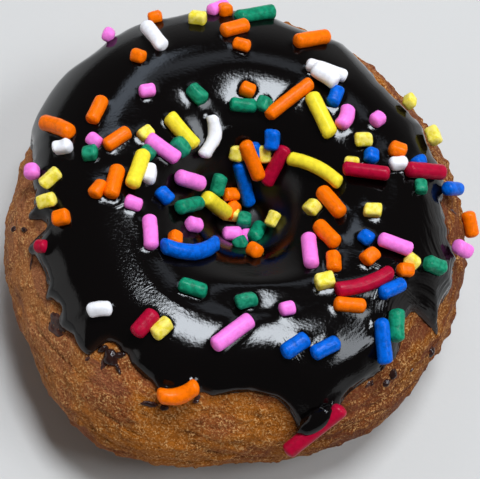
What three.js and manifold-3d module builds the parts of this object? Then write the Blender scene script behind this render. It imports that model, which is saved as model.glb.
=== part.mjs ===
// A small ring doughnut dipped in chocolate icing, with sugar sprinkles set in the icing.
// Millimetres, +Z up. The hole's axis is worked out first as the axis x = y = 0, and the
// whole is then moved so that the middle of its underside is the origin. Clock angles are
// degrees round that axis, 0 at +X and 90 at +Y. Section angles are degrees round the
// ring's own cross-section: 0 at the outside, 90 at the crown, 180 in the hole.

import * as THREE from 'three';
import { mergeVertices } from 'three/addons/utils/BufferGeometryUtils.js';
import Module from 'manifold-3d';

const wasm = await Module();
wasm.setup();

// ---- Driving dimensions, in millimetres and degrees ----

const outsideRadius = 31.6; // from the hole's axis to the crust, on average
const holeRadius = 4.2; // the hole at its waist
const waistHeight = 10.5; // the widest and narrowest level of the ring
const crownHeight = 22.9; // top of the dough
const restAngle = 70; // the underside is flat between this section angle and its mirror image

const icingGap = 0.3; // clearance between the dough and the underside of the icing
const icingThickness = 1.0;
const icingCover = icingGap + icingThickness;
const icingEdge = 50; // section angle at which the icing stops, on average
const poolHeight = 14; // the icing closes the hole at this height
const poolDish = 0.02; // how fast the pool rises away from its middle, per mm
const poolBlend = 0.8; // softness of the line where the pool meets the wall of the hole
const poolDepth = 1.4; // thickness of the pool

const cragDepth = 0.6; // deepest hollow of the crust
const cragFade = 3; // the hollows fade out over this height above the underside

const sprinkleRadius = 1.02;
const sprinkleSink = 0.38; // how deep a sprinkle sits in the wet icing
const rodSides = 6;
const sprinkleEnd = 0.45; // its end bulges out by this share of its radius
const nubLength = 2.2; // a sprinkle broken off short
const nubTurn = 137.5; // each nub is turned this much further than the one before it
const sprinkleSpread = 0.07; // how far a sprinkle's thickness strays, as a share of its radius

// The ring isn't quite round: each lobe pushes the crust out by rise, at waves places.
const outlineLobes = [
  { waves: 2, rise: 1.2, at: 87 },
  { waves: 3, rise: 0.6, at: 6 },
  { waves: 4, rise: 0.25, at: -23 },
  { waves: 5, rise: 0.2, at: -35 },
  { waves: 6, rise: 0.35, at: 20 },
  { waves: 7, rise: 0.2, at: 0 },
];

// The hollows of the crust are the sum of a few long wrinkles that cross each other.
const wrinkles = [
  { length: 9.5, towards: [1, 0.4, 0.9], share: 0.4 },
  { length: 7, towards: [-0.5, 1, 0.7], share: 0.35 },
  { length: 5.5, towards: [0.8, -0.7, 1], share: 0.25 },
];

// Where the icing runs lower (drop below 0) or stops higher than its average edge.
const icingRuns = [
  { at: 188, spread: 8, drop: -12 },
  { at: 227, spread: 4, drop: -5 },
  { at: 242, spread: 6, drop: -5 },
  { at: 268, spread: 16, drop: 5 },
  { at: 301, spread: 3.6, drop: -22 },
  { at: 308, spread: 9, drop: -9 },
  { at: 338, spread: 5, drop: 9 },
  { at: 355, spread: 7, drop: -7 },
  { at: 42, spread: 26, drop: 7 },
  { at: 120, spread: 28, drop: -16 },
  { at: 151, spread: 4, drop: 10 },
];

// Each sprinkle is [x, y, length, heading, lift, bend]: its middle in plan, its length, its
// heading from +X, how far other sprinkles hold it off the icing, and how far it bows.
// One with only x and y is a nub of the usual length that lies any way round.
const sprinkles = {
  orange: [
    [-8, 22, 4, 40], [2, 24, 5.5, 40], [1.5, 14, 7.5, 55], [10.5, 2, 5, 135], [-0.5, 5.5, 5.5, 140, 1],
    [-21, 4, 4, 85], [-25, 1, 5.8, 155, 0, 0.4], [-17.5, 0.5, 4, 55], [-16, -5.5, 4.5, 95],
    [11, -3, 4.5, 135], [15.5, -12, 4, 15], [-1, -28, 5, 30, 0, 0.5], [-18.5, 22], [-18.5, 13.5],
    [-10, 25.5], [-6.5, 19.5, 2.5, 0], [16.5, 11, 2.4, 0], [-4, 13.5], [-17.5, -7, 2.6, 75],
    [-20.5, -11.5, 2.4, 20], [-2.5, 3, 2.4, 30, 0.1], [-1.5, 1, 2.8, 65, 0.4], [3, -7.5], [-7, -10],
    [16.5, -5, 2.5, 60], [12.5, -7, 2.9, 100], [21, -5, 2.3, 20],
  ],
  yellow: [
    [6, 13, 6.5, 130], [7.5, 6, 8, 160, 0.3, 0.5], [-10.5, 5, 5.5, 155], [-14, -3, 5.5, 90, 0.6],
    [-23.5, -6.5, 3, 55], [-4.5, -0.5, 6, 20, 0.6], [-5, -22, 2.8, 60], [-13, 22.5, 2.4, 0],
    [12, 11, 2.4, 20], [16.5, 20], [20.5, 16, 2.6, 120], [11.5, 7.5], [0.5, 7.5, 2.4, 120], [-3, 6.5],
    [-14.5, 2.5], [-23, -9.5, 2.5, 20], [-1.5, 0.5, 2.4, 10, 0.3], [4.5, 0, 2.2, 80], [8.5, 1],
    [15.5, 1.5, 2.4, 10], [21.5, -3.5], [12, -10, 2.6, 30],
  ],
  pink: [
    [-11, 26, 3.5, 55], [9, 13.5, 3.4, 85, 0, 0.2], [-12, 1.5, 5, 170], [-10, -10.5, 4.6, 110],
    [-8, -0.5, 4.6, 25, 0.3], [19, -2.5, 4.5, 180, 0.5], [9.5, -6, 5.5, 105], [3, -20, 6, 55],
    [-23.5, 18], [13, 14.5], [-16, 8.5, 2.3, 30], [-20, -0.5, 2.2, 150], [-26, -5.5], [-13, -7.5, 2.4, 0],
    [-5.5, -6.5, 2.4, 30], [-0.5, -2.5, 2.7, 20, 0.2], [1.5, -2], [27.5, 2, 3, 15], [8.5, -15],
  ],
  green: [
    [-6, 26, 6, 40], [-10, 10.5, 3, 155], [-4, 11.5, 3.6, 15], [-10, 3, 2.8, 155],
    [-4.5, 2.5, 2.8, 90, 0.1], [-7, -4, 5, 55, 0.3], [3, -1.5, 3.4, 80], [-3, -16, 3.6, 0], [3.5, -15.5, 2.8, 35],
    [21.5, -12, 4, 105], [20.5, 7], [-1.5, 12.5, 2.2, 80], [-20, -2.5], [-13.5, 0],
    [0.5, 0, 2.2, 100, 0.6], [1, -5.5], [24.5, -2.5, 3, 10],
  ],
  blue: [
    [7, 16, 3, 85], [25, 10, 3.6, 40], [1, 9, 3, 105, 0.9], [-1, 4.5, 6.5, 135], [-10, -4.5, 2.4, 155],
    [-5, -10.2, 8.5, 35, 0.1, 1.1], [20, -8, 3.8, 45], [10.5, -19, 3.8, 50], [14, -18, 3.8, 45],
    [20.5, -14.5, 5.6, 115], [13.5, 9], [19.5, 10.5], [-1, 7.5, 2.4, 120], [15.5, -2.5],
  ],
  red: [
    [13.5, 6.5, 6, 5, 0.6], [20.5, 9.5, 5.9, 25], [2.5, 6.5, 5.8, 75, 0.2], [16.5, -8.5, 7.8, 38, 0, 0.4],
    [-7, -22, 3.8, 65], [-22, -15, 1.9, 0], [16, -26, 9, 50],
  ],
  white: [
    [-17.5, 17.5, 5.6, 130], [5, 19.5, 5.6, 0], [5, 18, 4, 160, 0.9], [-7, 6, 5.2, 95, 0, 0.7],
    [17, 9, 2.5, 20], [-23.5, -2, 2.6, 20], [-12.5, -2.5, 2.6, 100], [-3.5, 0.5, 2, 20],
    [-12.5, -21.5, 3, 20],
  ],
};

// These lie on the bare crust.
const crustSprinkles = [[28.5, 8.5, 3.6, 125]];

const mergeDistance = 1e-4; // points closer than this are one point

// Section angles of the dough's rows of points. The icing's underside stands on the same
// rows, so that it follows the facets of the dough.
const clockSteps = 78;
const coveredRows = [72, 92, 120, 150, 170];
const doughRows = [-110, -90, -70, -50, -35, -21, -8, 5, 18, 30, 41, 51, 61, ...coveredRows, 200, 225];

// Rows of the icing, out along its underside to the edge and back over its surface. A row
// stands at a section angle, some degrees inside the icing's edge, or part of the way from
// the edge to the last covered row. Its share of the icing's thickness is 0 underneath.
const icingRows = [
  ...coveredRows.toReversed().map((angle) => ({ angle, share: 0 })),
  ...[0.7, 0.35].map((way) => ({ way, share: 0 })),
  { inside: 1.5, share: 0 },
  { inside: -1, share: 0.5 },
  ...[1, 4].map((inside) => ({ inside, share: 1 })),
  ...[0.4, 0.7].map((way) => ({ way, share: 1 })),
  ...[72, 86, 101, 117, 133, 149, 164, 180].map((angle) => ({ angle, share: 1 })),
];

// ---- The ring's surface ----

const radians = THREE.MathUtils.degToRad;
const sine = (degrees) => Math.sin(radians(degrees));
const cosine = (degrees) => Math.cos(radians(degrees));

function crustRadius(clock) {
  const push = outlineLobes.map((lobe) => lobe.rise * cosine(lobe.waves * (clock - lobe.at)));
  return outsideRadius + push.reduce((sum, rise) => sum + rise, 0);
}

// A point of the smooth cross-section, with a cover of that thickness over the dough.
function section(clock, angle, cover) {
  const across = (crustRadius(clock) - holeRadius) / 2 + cover;
  const middle = (crustRadius(clock) + holeRadius) / 2;
  const above = crownHeight - waistHeight + cover;
  const below = waistHeight / sine(restAngle) + cover;
  const rise = sine(angle) > 0 ? above : below;
  return { r: middle + across * cosine(angle), z: Math.max(waistHeight + rise * sine(angle), 0) };
}

function spot(clock, r, z) {
  return new THREE.Vector3(r * cosine(clock), r * sine(clock), z);
}

// Depth of the shallow hollows that frying leaves, always cut in from the smooth section.
function crag(point) {
  const swell = wrinkles.map(({ length, towards, share }, order) => {
    const way = point.dot(new THREE.Vector3(...towards).normalize());
    return share * Math.sin((2 * Math.PI * way) / length + order);
  });
  const depth = swell.reduce((sum, part) => sum + part, 1) / 2;
  return cragDepth * depth * Math.min(point.z / cragFade, 1);
}

// Height of the icing's surface, or of a bare crust where cover is 0, over a point in plan.
function surfaceHeight(x, y, cover) {
  const clock = THREE.MathUtils.radToDeg(Math.atan2(y, x));
  const r = Math.hypot(x, y);
  const across = (crustRadius(clock) - holeRadius) / 2 + cover;
  const middle = (crustRadius(clock) + holeRadius) / 2;
  const reach = Math.min(Math.abs(r - middle) / across, 1);
  const wall = waistHeight + (crownHeight - waistHeight + cover) * Math.sqrt(1 - reach * reach);
  if (r >= middle) return wall;
  const pool = poolHeight + poolDish * r * r;
  return wall + poolBlend * Math.log1p(Math.exp((pool - wall) / poolBlend));
}

function icingEdgeAngle(clock) {
  const drops = icingRuns.map((run) => {
    const away = THREE.MathUtils.euclideanModulo(clock - run.at + 180, 360) - 180;
    return run.drop * Math.exp(-((away / run.spread) ** 2));
  });
  return drops.reduce((sum, drop) => sum + drop, icingEdge);
}

// ---- Solids ----

// A lathe's grid of rows points by clockSteps, each point moved to place(clock, row).
function turned(rows, place) {
  const profile = Array.from({ length: rows }, (_, row) => new THREE.Vector2(1, row));
  const geometry = new THREE.LatheGeometry(profile, clockSteps);
  const position = geometry.attributes.position;
  for (let i = 0; i < position.count; i += 1) {
    const clock = ((Math.floor(i / rows) % clockSteps) * 360) / clockSteps;
    const point = place(clock, i % rows);
    position.setXYZ(i, point.x, point.y, point.z);
  }
  return geometry;
}

function solid(geometry) {
  const bare = geometry.clone();
  bare.deleteAttribute('normal');
  bare.deleteAttribute('uv');
  const merged = mergeVertices(bare, mergeDistance);
  const corners = merged.index.array;
  const faces = [];
  for (let i = 0; i < corners.length; i += 3) {
    const [a, b, c] = corners.slice(i, i + 3);
    if (a !== b && b !== c && c !== a) faces.push(a, b, c);
  }
  const mesh = new wasm.Mesh({
    numProp: 3,
    vertProperties: Float32Array.from(merged.attributes.position.array),
    triVerts: Uint32Array.from(faces),
  });
  return new wasm.Manifold(mesh);
}

// The one body that is left once loose scraps are dropped and sealed hollows are filled.
function mainBody(joined) {
  return joined.decompose().reduce((best, body) => (body.volume() > best.volume() ? body : best));
}

function named(name, body, material) {
  const { vertProperties, triVerts } = body.getMesh();
  const geometry = new THREE.BufferGeometry();
  geometry.setAttribute('position', new THREE.BufferAttribute(vertProperties, 3));
  geometry.setIndex(new THREE.BufferAttribute(triVerts, 1));
  geometry.computeVertexNormals();
  const mesh = new THREE.Mesh(geometry, material);
  mesh.name = name;
  return mesh;
}

// The ring of dough: its section closes on itself, so the last row repeats the first.
function doughRing(cover, craggy) {
  const rows = [...doughRows, doughRows[0]];
  const geometry = turned(rows.length, (clock, row) => {
    const angle = rows[row];
    const { r, z } = section(clock, angle, cover);
    const point = spot(clock, r, z);
    if (!craggy) return point;
    const depth = crag(point);
    const inward = section(clock, angle, cover - depth);
    return spot(clock, inward.r, z === 0 ? 0 : inward.z);
  });
  return solid(geometry);
}

// The icing, from the underside of the pool out to the rounded edge and back over the crown
// to the middle of the pool.
function icingShell() {
  const rows = icingRows.length + 2;
  const geometry = turned(rows, (clock, row) => {
    if (row === 0) return new THREE.Vector3(0, 0, poolHeight - poolDepth);
    if (row === rows - 1) return new THREE.Vector3(0, 0, surfaceHeight(0, 0, icingCover));
    const { angle, inside = 0, way = 0, share } = icingRows[row - 1];
    const edge = icingEdgeAngle(clock) + inside;
    const stand = angle ?? THREE.MathUtils.lerp(edge, coveredRows[0], way);
    const { r, z } = section(clock, stand, icingGap + share * icingThickness);
    const point = spot(clock, r, z);
    if (share === 1) point.z = surfaceHeight(point.x, point.y, icingCover);
    return point;
  });
  return solid(geometry);
}

// A rod along +Y with bulging ends, its middle pushed towards +X by bend.
function rod(radius, length, bend) {
  const body = length / 2 - sprinkleEnd * radius;
  const waist = bend ? [[radius, 0]] : [];
  const profile = [[0, -length / 2], [radius, -body], ...waist, [radius, body], [0, length / 2]];
  const geometry = new THREE.LatheGeometry(profile.map(([x, y]) => new THREE.Vector2(x, y)), rodSides);
  const position = geometry.attributes.position;
  for (let i = 0; i < position.count; i += 1) {
    const share = position.getY(i) / body;
    position.setX(i, position.getX(i) + bend * (1 - Math.min(share * share, 1)));
  }
  return geometry;
}

// Lays a sprinkle on the surface so that neither its middle nor its ends sink too deep.
function sprinkle([x, y, length = nubLength, heading, lift = 0, bend = 0], order, cover) {
  const turn = heading ?? order * nubTurn;
  const radius = sprinkleRadius * (1 + sprinkleSpread * sine(order * nubTurn));
  const reach = Math.max(length / 2 - radius, radius / 2);
  const height = (along, across) => surfaceHeight(
    x + along * cosine(turn) - across * sine(turn),
    y + along * sine(turn) + across * cosine(turn),
    cover,
  );
  const rise = (height(reach, 0) - height(-reach, 0)) / (2 * reach);
  const sideRise = (height(0, radius) - height(0, -radius)) / (2 * radius);
  const along = new THREE.Vector3(cosine(turn), sine(turn), rise).normalize();
  const side = new THREE.Vector3(-sine(turn), cosine(turn), sideRise);
  const out = new THREE.Vector3().crossVectors(along, side).normalize();
  const level = Math.max(height(0, 0), (height(reach, 0) + height(-reach, 0)) / 2);
  const centre = new THREE.Vector3(x, y, level).addScaledVector(out, radius - sprinkleSink + lift);
  const place = new THREE.Matrix4().makeBasis(new THREE.Vector3().crossVectors(along, out), along, out);
  return solid(rod(radius, length, bend).applyMatrix4(place.setPosition(centre)));
}

// ---- The doughnut ----

const clearDough = doughRing(icingGap, false);
const setInIcing = Object.values(sprinkles).flat();
const sprinkleBodies = setInIcing.map((place, order) => sprinkle(place, order, icingCover));
const crustBodies = crustSprinkles.map((place, order) => sprinkle(place, order, 0));

const doughBody = mainBody(wasm.Manifold.union([doughRing(0, true), ...crustBodies]));
const sprinkled = wasm.Manifold.union(sprinkleBodies).subtract(clearDough);
const icingBody = mainBody(icingShell().add(sprinkled));

const crustMaterial = new THREE.MeshStandardMaterial({ color: 0xa8672c, roughness: 0.75 });
const chocolateMaterial = new THREE.MeshStandardMaterial({ color: 0x17100e, roughness: 0.12 });

const doughnut = new THREE.Group();
doughnut.add(named('dough', doughBody, crustMaterial));
doughnut.add(named('icing', icingBody, chocolateMaterial));

// The middle of the underside becomes the origin.
const box = new THREE.Box3().setFromObject(doughnut);
const middle = box.getCenter(new THREE.Vector3());
doughnut.children.forEach((piece) => piece.position.set(-middle.x, -middle.y, 0));

export default doughnut;
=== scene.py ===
"""A small ring doughnut with chocolate icing and coloured sugar strands, laid out as an add-on."""

import functools
import math

import bmesh
import bpy
from bpy.props import FloatProperty, FloatVectorProperty, PointerProperty
from mathutils import Matrix, Vector, kdtree, noise


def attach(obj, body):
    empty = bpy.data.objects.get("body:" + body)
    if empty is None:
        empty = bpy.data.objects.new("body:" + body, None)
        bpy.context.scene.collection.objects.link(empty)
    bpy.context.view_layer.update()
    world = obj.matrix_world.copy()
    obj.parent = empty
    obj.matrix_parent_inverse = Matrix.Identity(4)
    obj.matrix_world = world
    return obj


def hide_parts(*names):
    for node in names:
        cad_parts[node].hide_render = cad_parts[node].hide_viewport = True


bl_info = {
    "name": "Iced Ring Doughnut",
    "version": (1, 0, 0),
    "blender": (4, 5, 0),
    "location": "3D View > Sidebar > Doughnut",
    "description": "A ring doughnut with chocolate icing and sugar strands",
    "category": "Add Mesh",
}

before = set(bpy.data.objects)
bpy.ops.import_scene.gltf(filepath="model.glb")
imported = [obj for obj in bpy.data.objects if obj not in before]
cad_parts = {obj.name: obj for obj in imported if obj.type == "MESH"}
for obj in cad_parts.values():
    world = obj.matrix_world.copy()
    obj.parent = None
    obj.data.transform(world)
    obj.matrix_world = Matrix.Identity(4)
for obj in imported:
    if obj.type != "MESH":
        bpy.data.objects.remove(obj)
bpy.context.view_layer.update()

MM = 0.001  # everything below is worked out in millimetres round the hole's axis
HOLE_AXIS = Vector((-0.54, 0.29, 0.0))  # from the middle of the underside

# The ring isn't quite round: each lobe is (waves, rise in mm, clock angle of one crest).
OUTLINE_LOBES = [(2, 1.2, 87), (3, 0.6, 6), (4, 0.25, -23), (5, 0.2, -35), (6, 0.35, 20), (7, 0.2, 0)]

# The long wrinkles of the crust, each (length in mm, direction, share of the depth).
WRINKLES = [(9.5, (1, 0.4, 0.9), 0.4), (7, (-0.5, 1, 0.7), 0.35), (5.5, (0.8, -0.7, 1), 0.25)]

# Where the icing stops: (clock angle, section angle), round the ring. The section angle is 0 at
# the outside of the ring and 90 at its crown, so a drip is a low number.
ICING_EDGE = [
    (0, 37), (3, 36), (5, 39), (7, 46), (11, 49), (13, 52), (18, 54), (21, 53), (25, 49), (31, 49),
    (37, 51), (43, 46), (48, 50), (54, 53), (61, 53), (66, 51), (72, 45), (77, 40), (84, 44), (91, 47),
    (97, 40), (104, 34), (112, 32), (119, 28), (124, 30), (129, 24), (137, 22), (142, 26), (148, 27),
    (153, 18), (160, 12), (166, 9), (174, 11), (179, 24), (183, 31), (188, 37), (193, 41), (197, 44),
    (200, 44), (202, 41), (203.3, 42), (205, 51), (208.5, 52), (210, 40), (212.5, 38), (214, 42),
    (219, 44), (223, 44), (225.5, 39), (227, 43), (230, 45), (231.5, 44.5), (233, 41), (234.5, 41),
    (236.5, 43.5), (241, 45), (244.5, 46), (245.1, 50.5), (245.6, 56), (246.6, 59), (248.2, 60),
    (250.6, 59.6), (252.2, 60.6), (253.3, 59), (255.5, 56.4), (257.5, 55), (261, 54), (264, 52),
    (273, 54), (277, 52), (285, 53), (289, 51), (293, 48), (296, 41), (298, 32), (300, 22.5),
    (301.5, 18), (303.5, 18), (306, 26), (308, 32), (311, 40), (317, 43), (326, 44), (331, 46),
    (334, 51), (338, 55), (341, 53), (342.5, 40), (343.5, 27), (345, 29), (346.5, 33), (350, 37),
    (355, 34),
]

# Soft rolls and hollows in the set icing: (clock angle, radius, reach along the ring, reach
# across it, rise), the last four in millimetres.
ICING_ROLLS = [
    (292, 13.2, 6.0, 1.5, 0.38),
    (290, 16.8, 8.0, 1.4, -0.22),
    (110, 9.5, 5.0, 1.3, 0.30),
    (215, 14.8, 4.0, 1.4, 0.18),
    (325, 24.5, 4.0, 1.8, 0.20),
    (270, 25.6, 1.2, 1.2, -0.18),
    (5, 5.5, 4.0, 2.0, 0.55),
    (5, 10.5, 6.0, 2.2, -0.35),
    (132, 14.3, 2.5, 2.5, 0.12),
]

# Each strand is (x, y, length, heading, lift, bend): its middle in plan, its length, its heading
# from +X, how far other strands hold it off the icing, and how far it bows. A lift below 0 lets
# it down where the icing is thin. One with only x and y is a nub that lies any way round.
STRANDS = {
    "orange": [
        (-8, 22, 4, 40), (2, 24, 5.5, 40), (1.5, 14, 7.5, 55), (10.5, 2, 5, 135), (-0.9, 6.7, 5.5, 140, 1),
        (-21, 4, 4, 85), (-25, 1, 5.8, 155, 0, 0.15), (-17.5, 0.5, 4, 55), (-16, -5.5, 4.5, 95),
        (11, -3, 4.5, 135), (15.5, -12, 4, 15), (-1, -28, 5, 30, -0.6, 0.5), (-18.5, 22), (-18.5, 13.5),
        (-10, 25.5), (-6.5, 19.5, 2.5, 0), (16.5, 11, 2.4, 0), (-4, 13.5), (-17.5, -7, 2.6, 75),
        (-20.5, -11.5, 2.4, 20), (-2.5, 3, 2.4, 30, 0.1), (-1.5, 1, 2.8, 65, 0.4), (3, -7.5), (-7, -10),
        (16.5, -5, 2.5, 60), (12.5, -7, 2.9, 100), (21, -5, 2.3, 20),
    ],
    "yellow": [
        (6, 13, 6.5, 130), (7.5, 6, 8, 160, 0.3, 0.5), (-10.5, 5, 5.5, 155), (-14, -3, 5.5, 90, 0.6),
        (-23.5, -6.5, 3, 55), (-4.5, -0.5, 6, 20, 0.6), (-5, -22, 2.8, 60), (-13, 22.5, 2.4, 0),
        (12, 11, 2.4, 20), (16.5, 20), (20.5, 16, 2.6, 120), (11.5, 7.5), (0.5, 7.5, 2.4, 120),
        (-3, 6.5), (-14.5, 2.5), (-23, -9.5, 2.5, 20), (-1.5, 0.5, 2.4, 10, 0.3), (4.5, 0, 2.2, 80),
        (8.5, 1), (15.5, 1.5, 2.4, 10), (21.5, -3.5), (12, -10, 2.6, 30),
    ],
    "pink": [
        (-11, 26, 3.5, 55), (9, 13.5, 3.4, 85, 0, 0.2), (-12, 1.5, 5, 170), (-10, -10.5, 4.6, 110),
        (-8, -0.5, 4.6, 25, 0.3), (19, -2.5, 4.5, 180, 0.5), (9.5, -6, 5.5, 105), (3, -20, 6, 55),
        (-23.5, 18), (13, 14.5), (-16, 8.5, 2.3, 30), (-20, -0.5, 2.2, 150), (-26, -5.5),
        (-13, -7.5, 2.4, 0), (-5.5, -6.5, 2.4, 30), (-0.5, -2.5, 2.7, 20, 0.2), (1.5, -2),
        (27.5, 2, 3, 15), (8.5, -15),
    ],
    "green": [
        (-6, 26, 6, 40), (-10, 10.5, 3, 155), (-4, 11.5, 3.6, 15), (-10, 3, 2.8, 155),
        (-4.5, 2.5, 2.8, 90, 0.1), (-7, -4, 5, 55, 0.3), (3, -1.5, 3.4, 80), (-3, -16, 3.6, 0),
        (3.5, -15.5, 2.8, 35), (21.5, -12, 4, 105), (20.5, 7), (-1.5, 12.5, 2.2, 80), (-20, -2.5),
        (-13.5, 0), (0.5, 0, 2.2, 100, 0.6), (1, -5.5), (24.5, -2.5, 3, 10),
    ],
    "blue": [
        (7, 16, 3, 85), (25, 10, 3.6, 40, -0.5), (1, 9, 3, 105, 0.9), (-1, 4.5, 6.5, 135),
        (-10, -4.5, 2.4, 155), (-5, -10.2, 8.5, 35, 0.1, 1.1), (20, -8, 3.8, 45), (10.5, -19, 3.8, 50),
        (14, -18, 3.8, 45), (20.5, -14.5, 5.6, 115), (13.5, 9), (19.5, 10.5), (-1, 7.5, 2.4, 120),
        (15.5, -2.5),
    ],
    "red": [
        (13.5, 6.5, 6, 5, 0.6), (20.5, 9.5, 5.9, 25), (2.5, 6.5, 5.8, 75, 0.2),
        (16.5, -8.5, 7.8, 38, 0, 0.4), (-7, -22, 3.8, 65), (-22, -15, 1.9, 0, -0.4), (16, -26, 9, 50, -0.85),
    ],
    "white": [
        (-17.5, 17.5, 5.6, 130), (5, 19.5, 5.6, 0), (5, 18, 4, 160, 0.9), (-7.1, 6.4, 5.6, 95, 0, 0.7),
        (17, 9, 2.5, 20), (-23.5, -2, 2.6, 20), (-12.5, -2.5, 2.6, 100), (-3.5, 0.5, 2, 20),
        (-12.5, -21.5, 3, 20),
    ],
}
CRUST_STRAND = (28.5, 8.5, 3.6, 125)  # the orange one that lies on the bare crust
NUB_LENGTH = 2.1
NUB_TURN = 137.5  # from the heading of one nub to that of the next
RADIUS_VARIES = 0.07  # from strand to strand, as a share
SHORT_STRAND = 3.1  # below this length a strand is a broken bit, less round than a long one
BIT_THINNER = 0.07
BIT_SHORTER = 0.05
SQUARE_SMALLER = 0.09  # so that its corners don't stand out
ROD_POINTS = 20  # round a strand
ROD_ROWS = 18
ROD_END_ROWS = 6

# How each colour of sugar breaks and dries: (how pitted, which also darkens the painted shade
# in its pits, how square its bits are, how lumpy, how much paler the bits are).
SUGAR_LOOKS = {
    "orange": (0.35, 0.3, 0.06, 0.0),
    "yellow": (0.25, 0.8, 0.06, 0.13),
    "pink": (0.2, 0.15, 0.05, 0.0),
    "green": (1.0, 0.5, 0.10, 0.01),
    "blue": (0.8, 0.2, 0.07, 0.0),
    "red": (0.4, 0.0, 0.04, 0.0),
    "white": (0.1, 0.3, 0.13, 0.0),
}

# The middle of the even golden patch on the front, in millimetres in the part's frame.
GOLDEN_PLACE = (5, -29, 13)

# The drip's tip runs over the last red strand: where along it, how far aside, then its half
# length, half width and height above the strand's middle.
DRIP_COVER = (1.0, -0.95, 2.5, 1.35, 1.12)

# Drops and smears of icing on the bare crust: (clock angle, section angle, length, width,
# height, turn from the ring's direction), the middle three in millimetres.
SMEARS = [
    (203.3, 28, 0.9, 0.75, 0.35, 0),
    (205.2, 37, 0.9, 0.75, 0.35, 40),
    (214.7, 37.5, 1.8, 0.35, 0.12, -23),
    (232.6, 38.5, 3.2, 2.6, 0.14, 10),
    (249.0, 53.8, 2.5, 1.9, 0.75, -10),
    (246.3, 54.3, 1.5, 0.9, 0.5, 60),
    (250.5, 57.6, 1.8, 0.8, 0.45, 40),
    (248.5, 49.8, 0.9, 2.0, 0.15, 10),
    (244.6, 44.5, 1.1, 0.4, 0.1, 70),
    (252.0, 51.9, 1.9, 0.5, 0.35, -30),
    (262.5, 43.5, 2.2, 0.75, 0.25, 5),
    (266, 43, 1.3, 0.8, 0.4, 0),
    (272.8, 50, 1.3, 0.8, 0.15, 70),
    (318.6, 40.5, 1.5, 0.6, 0.12, 10),
    (319.4, 39.5, 0.5, 0.4, 0.25, 0),
    (323.4, 34, 1.2, 0.9, 0.4, 20),
    (326, 36, 1.6, 1.1, 0.5, 50),
    (332, 26, 0.6, 0.5, 0.15, 0),
    (340, 21, 1.4, 1.0, 0.4, 50),
    (18, 41, 1.3, 0.5, 0.12, 70),
]

# Relief of the crust, each (size, depth) in millimetres.
LUMPS = (3.2, 0.20)
FOLDS = (2.6, 0.26)
GRAINS = (0.9, 0.13)
CRUMBS = (1.5, 0.9)
CRUMB_LEVEL = 0.28  # a crumb stands out where the noise is above this
FOLD_SHARPNESS = 6
RELIEF_FADE = 1.5  # the relief fades out below this height
CRAG_FADE = 3  # and the long hollows below this one

CLOCK_STEPS = 480
DOUGH_STEPS = 200  # round the section
ROW_CROWDING = 0.45  # how much closer the dough's rows are on the open crust
ICING_UNDER_ROWS = 24
ICING_BEAD_ROWS = 16  # close together, round the edge
ICING_TOP_ROWS = 108
ICING_POOL_ROWS = 12
ICING_ROWS = ICING_UNDER_ROWS + ICING_BEAD_ROWS + ICING_TOP_ROWS + ICING_POOL_ROWS
DRAWN_RADIUS = 9  # marks along the crust are longer than wide by the ring's radius over this
POOL_ANGLE = 165  # the wall of the hole gives way to the pool here
POOL_MATT = (5.5, 3.5)  # the pool is matt within this radius, and fades over this distance

# The icing's edge, in millimetres.
EDGE_RAGGED = 0.9  # degrees of the section that it wanders up and down
EDGE_THICKNESS = 0.36
EDGE_WANDER = 0.12
LEFT_FULLER = 0.46
FRONT_THINNER = 0.22
BEAD_ANGLE = 5.5  # the close rows take up these degrees of the section
BEAD_CROWDING = 1.6
BEAD_REACH = 1.5  # the edge rounds over within this distance
FILL_REACH = 2  # the icing fills the crust's relief at this one
EDGE_BLEND = 4.5  # and reaches its full thickness at this one
# The crust just below the icing's edge at the front gets a painted shade, darkest at the edge.
EDGE_SHADE_REACH = 1.8  # the crust beside the icing is darkened up to this distance

# Stretches of the edge, each (middle, reach) in clock degrees.
FRONT = (292, 20)
LEFT = (232, 28)
STREAKED = (348, 24)
STREAK_STRETCH = 4  # streaks along the edge are longer than wide
STREAK_DEPTH = (3, 6)  # they go this far in, and fade over this distance

MENISCUS_REACH = 0.32  # the icing round a strand falls off over this distance
HELD_OFF = 0.25  # a strand with this lift or more has no icing drawn up round it

# Each softbox is (name, degrees from straight up along +X and +Y, degrees wide, degrees tall,
# radiance, colour, turn in its own plane).
SOFTBOXES = [
    ("key_softbox", (1.7, 10.4), 21, 14.5, 30, "#f0f7ff", -38),
    ("side_softbox", (34, 0), 15, 26, 10, "#f0f7ff", 0),
    ("left_window", (-22, 40), 10, 18, 3.4, "#dcebff", 0),
    ("back_window", (-4, 39), 24, 7, 1.2, "#e4efff", 0),
]

# Each pale wall is (setting of its brightness, direction as of a softbox, degrees from there to
# where it starts to fade, degrees to where it ends).
WALLS = [
    ("left_wall", (-85, -20), 26, 33),
    ("right_wall", (88, 42), 18, 50),
    ("back_wall", (10, 95), 10, 48),
]
FLOOR_HALF = 1.5  # metres


# ---- Settings ----


def linear(hex_colour):
    """An sRGB colour written as #rrggbb, as linear red, green and blue."""
    parts = [int(hex_colour[i : i + 2], 16) / 255 for i in (1, 3, 5)]
    return tuple(p / 12.92 if p <= 0.04045 else ((p + 0.055) / 1.055) ** 2.4 for p in parts)


def length(name, description, millimetres):
    return FloatProperty(
        name=name, description=description, default=millimetres * MM, unit="LENGTH", precision=5
    )


def angle(name, description, degrees):
    return FloatProperty(
        name=name, description=description, default=math.radians(degrees), unit="ROTATION"
    )


def colour(name, description, hex_colour):
    return FloatVectorProperty(
        name=name, description=description, default=linear(hex_colour), subtype="COLOR", min=0, max=1
    )


def number(name, description, value):
    return FloatProperty(name=name, description=description, default=value)


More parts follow.
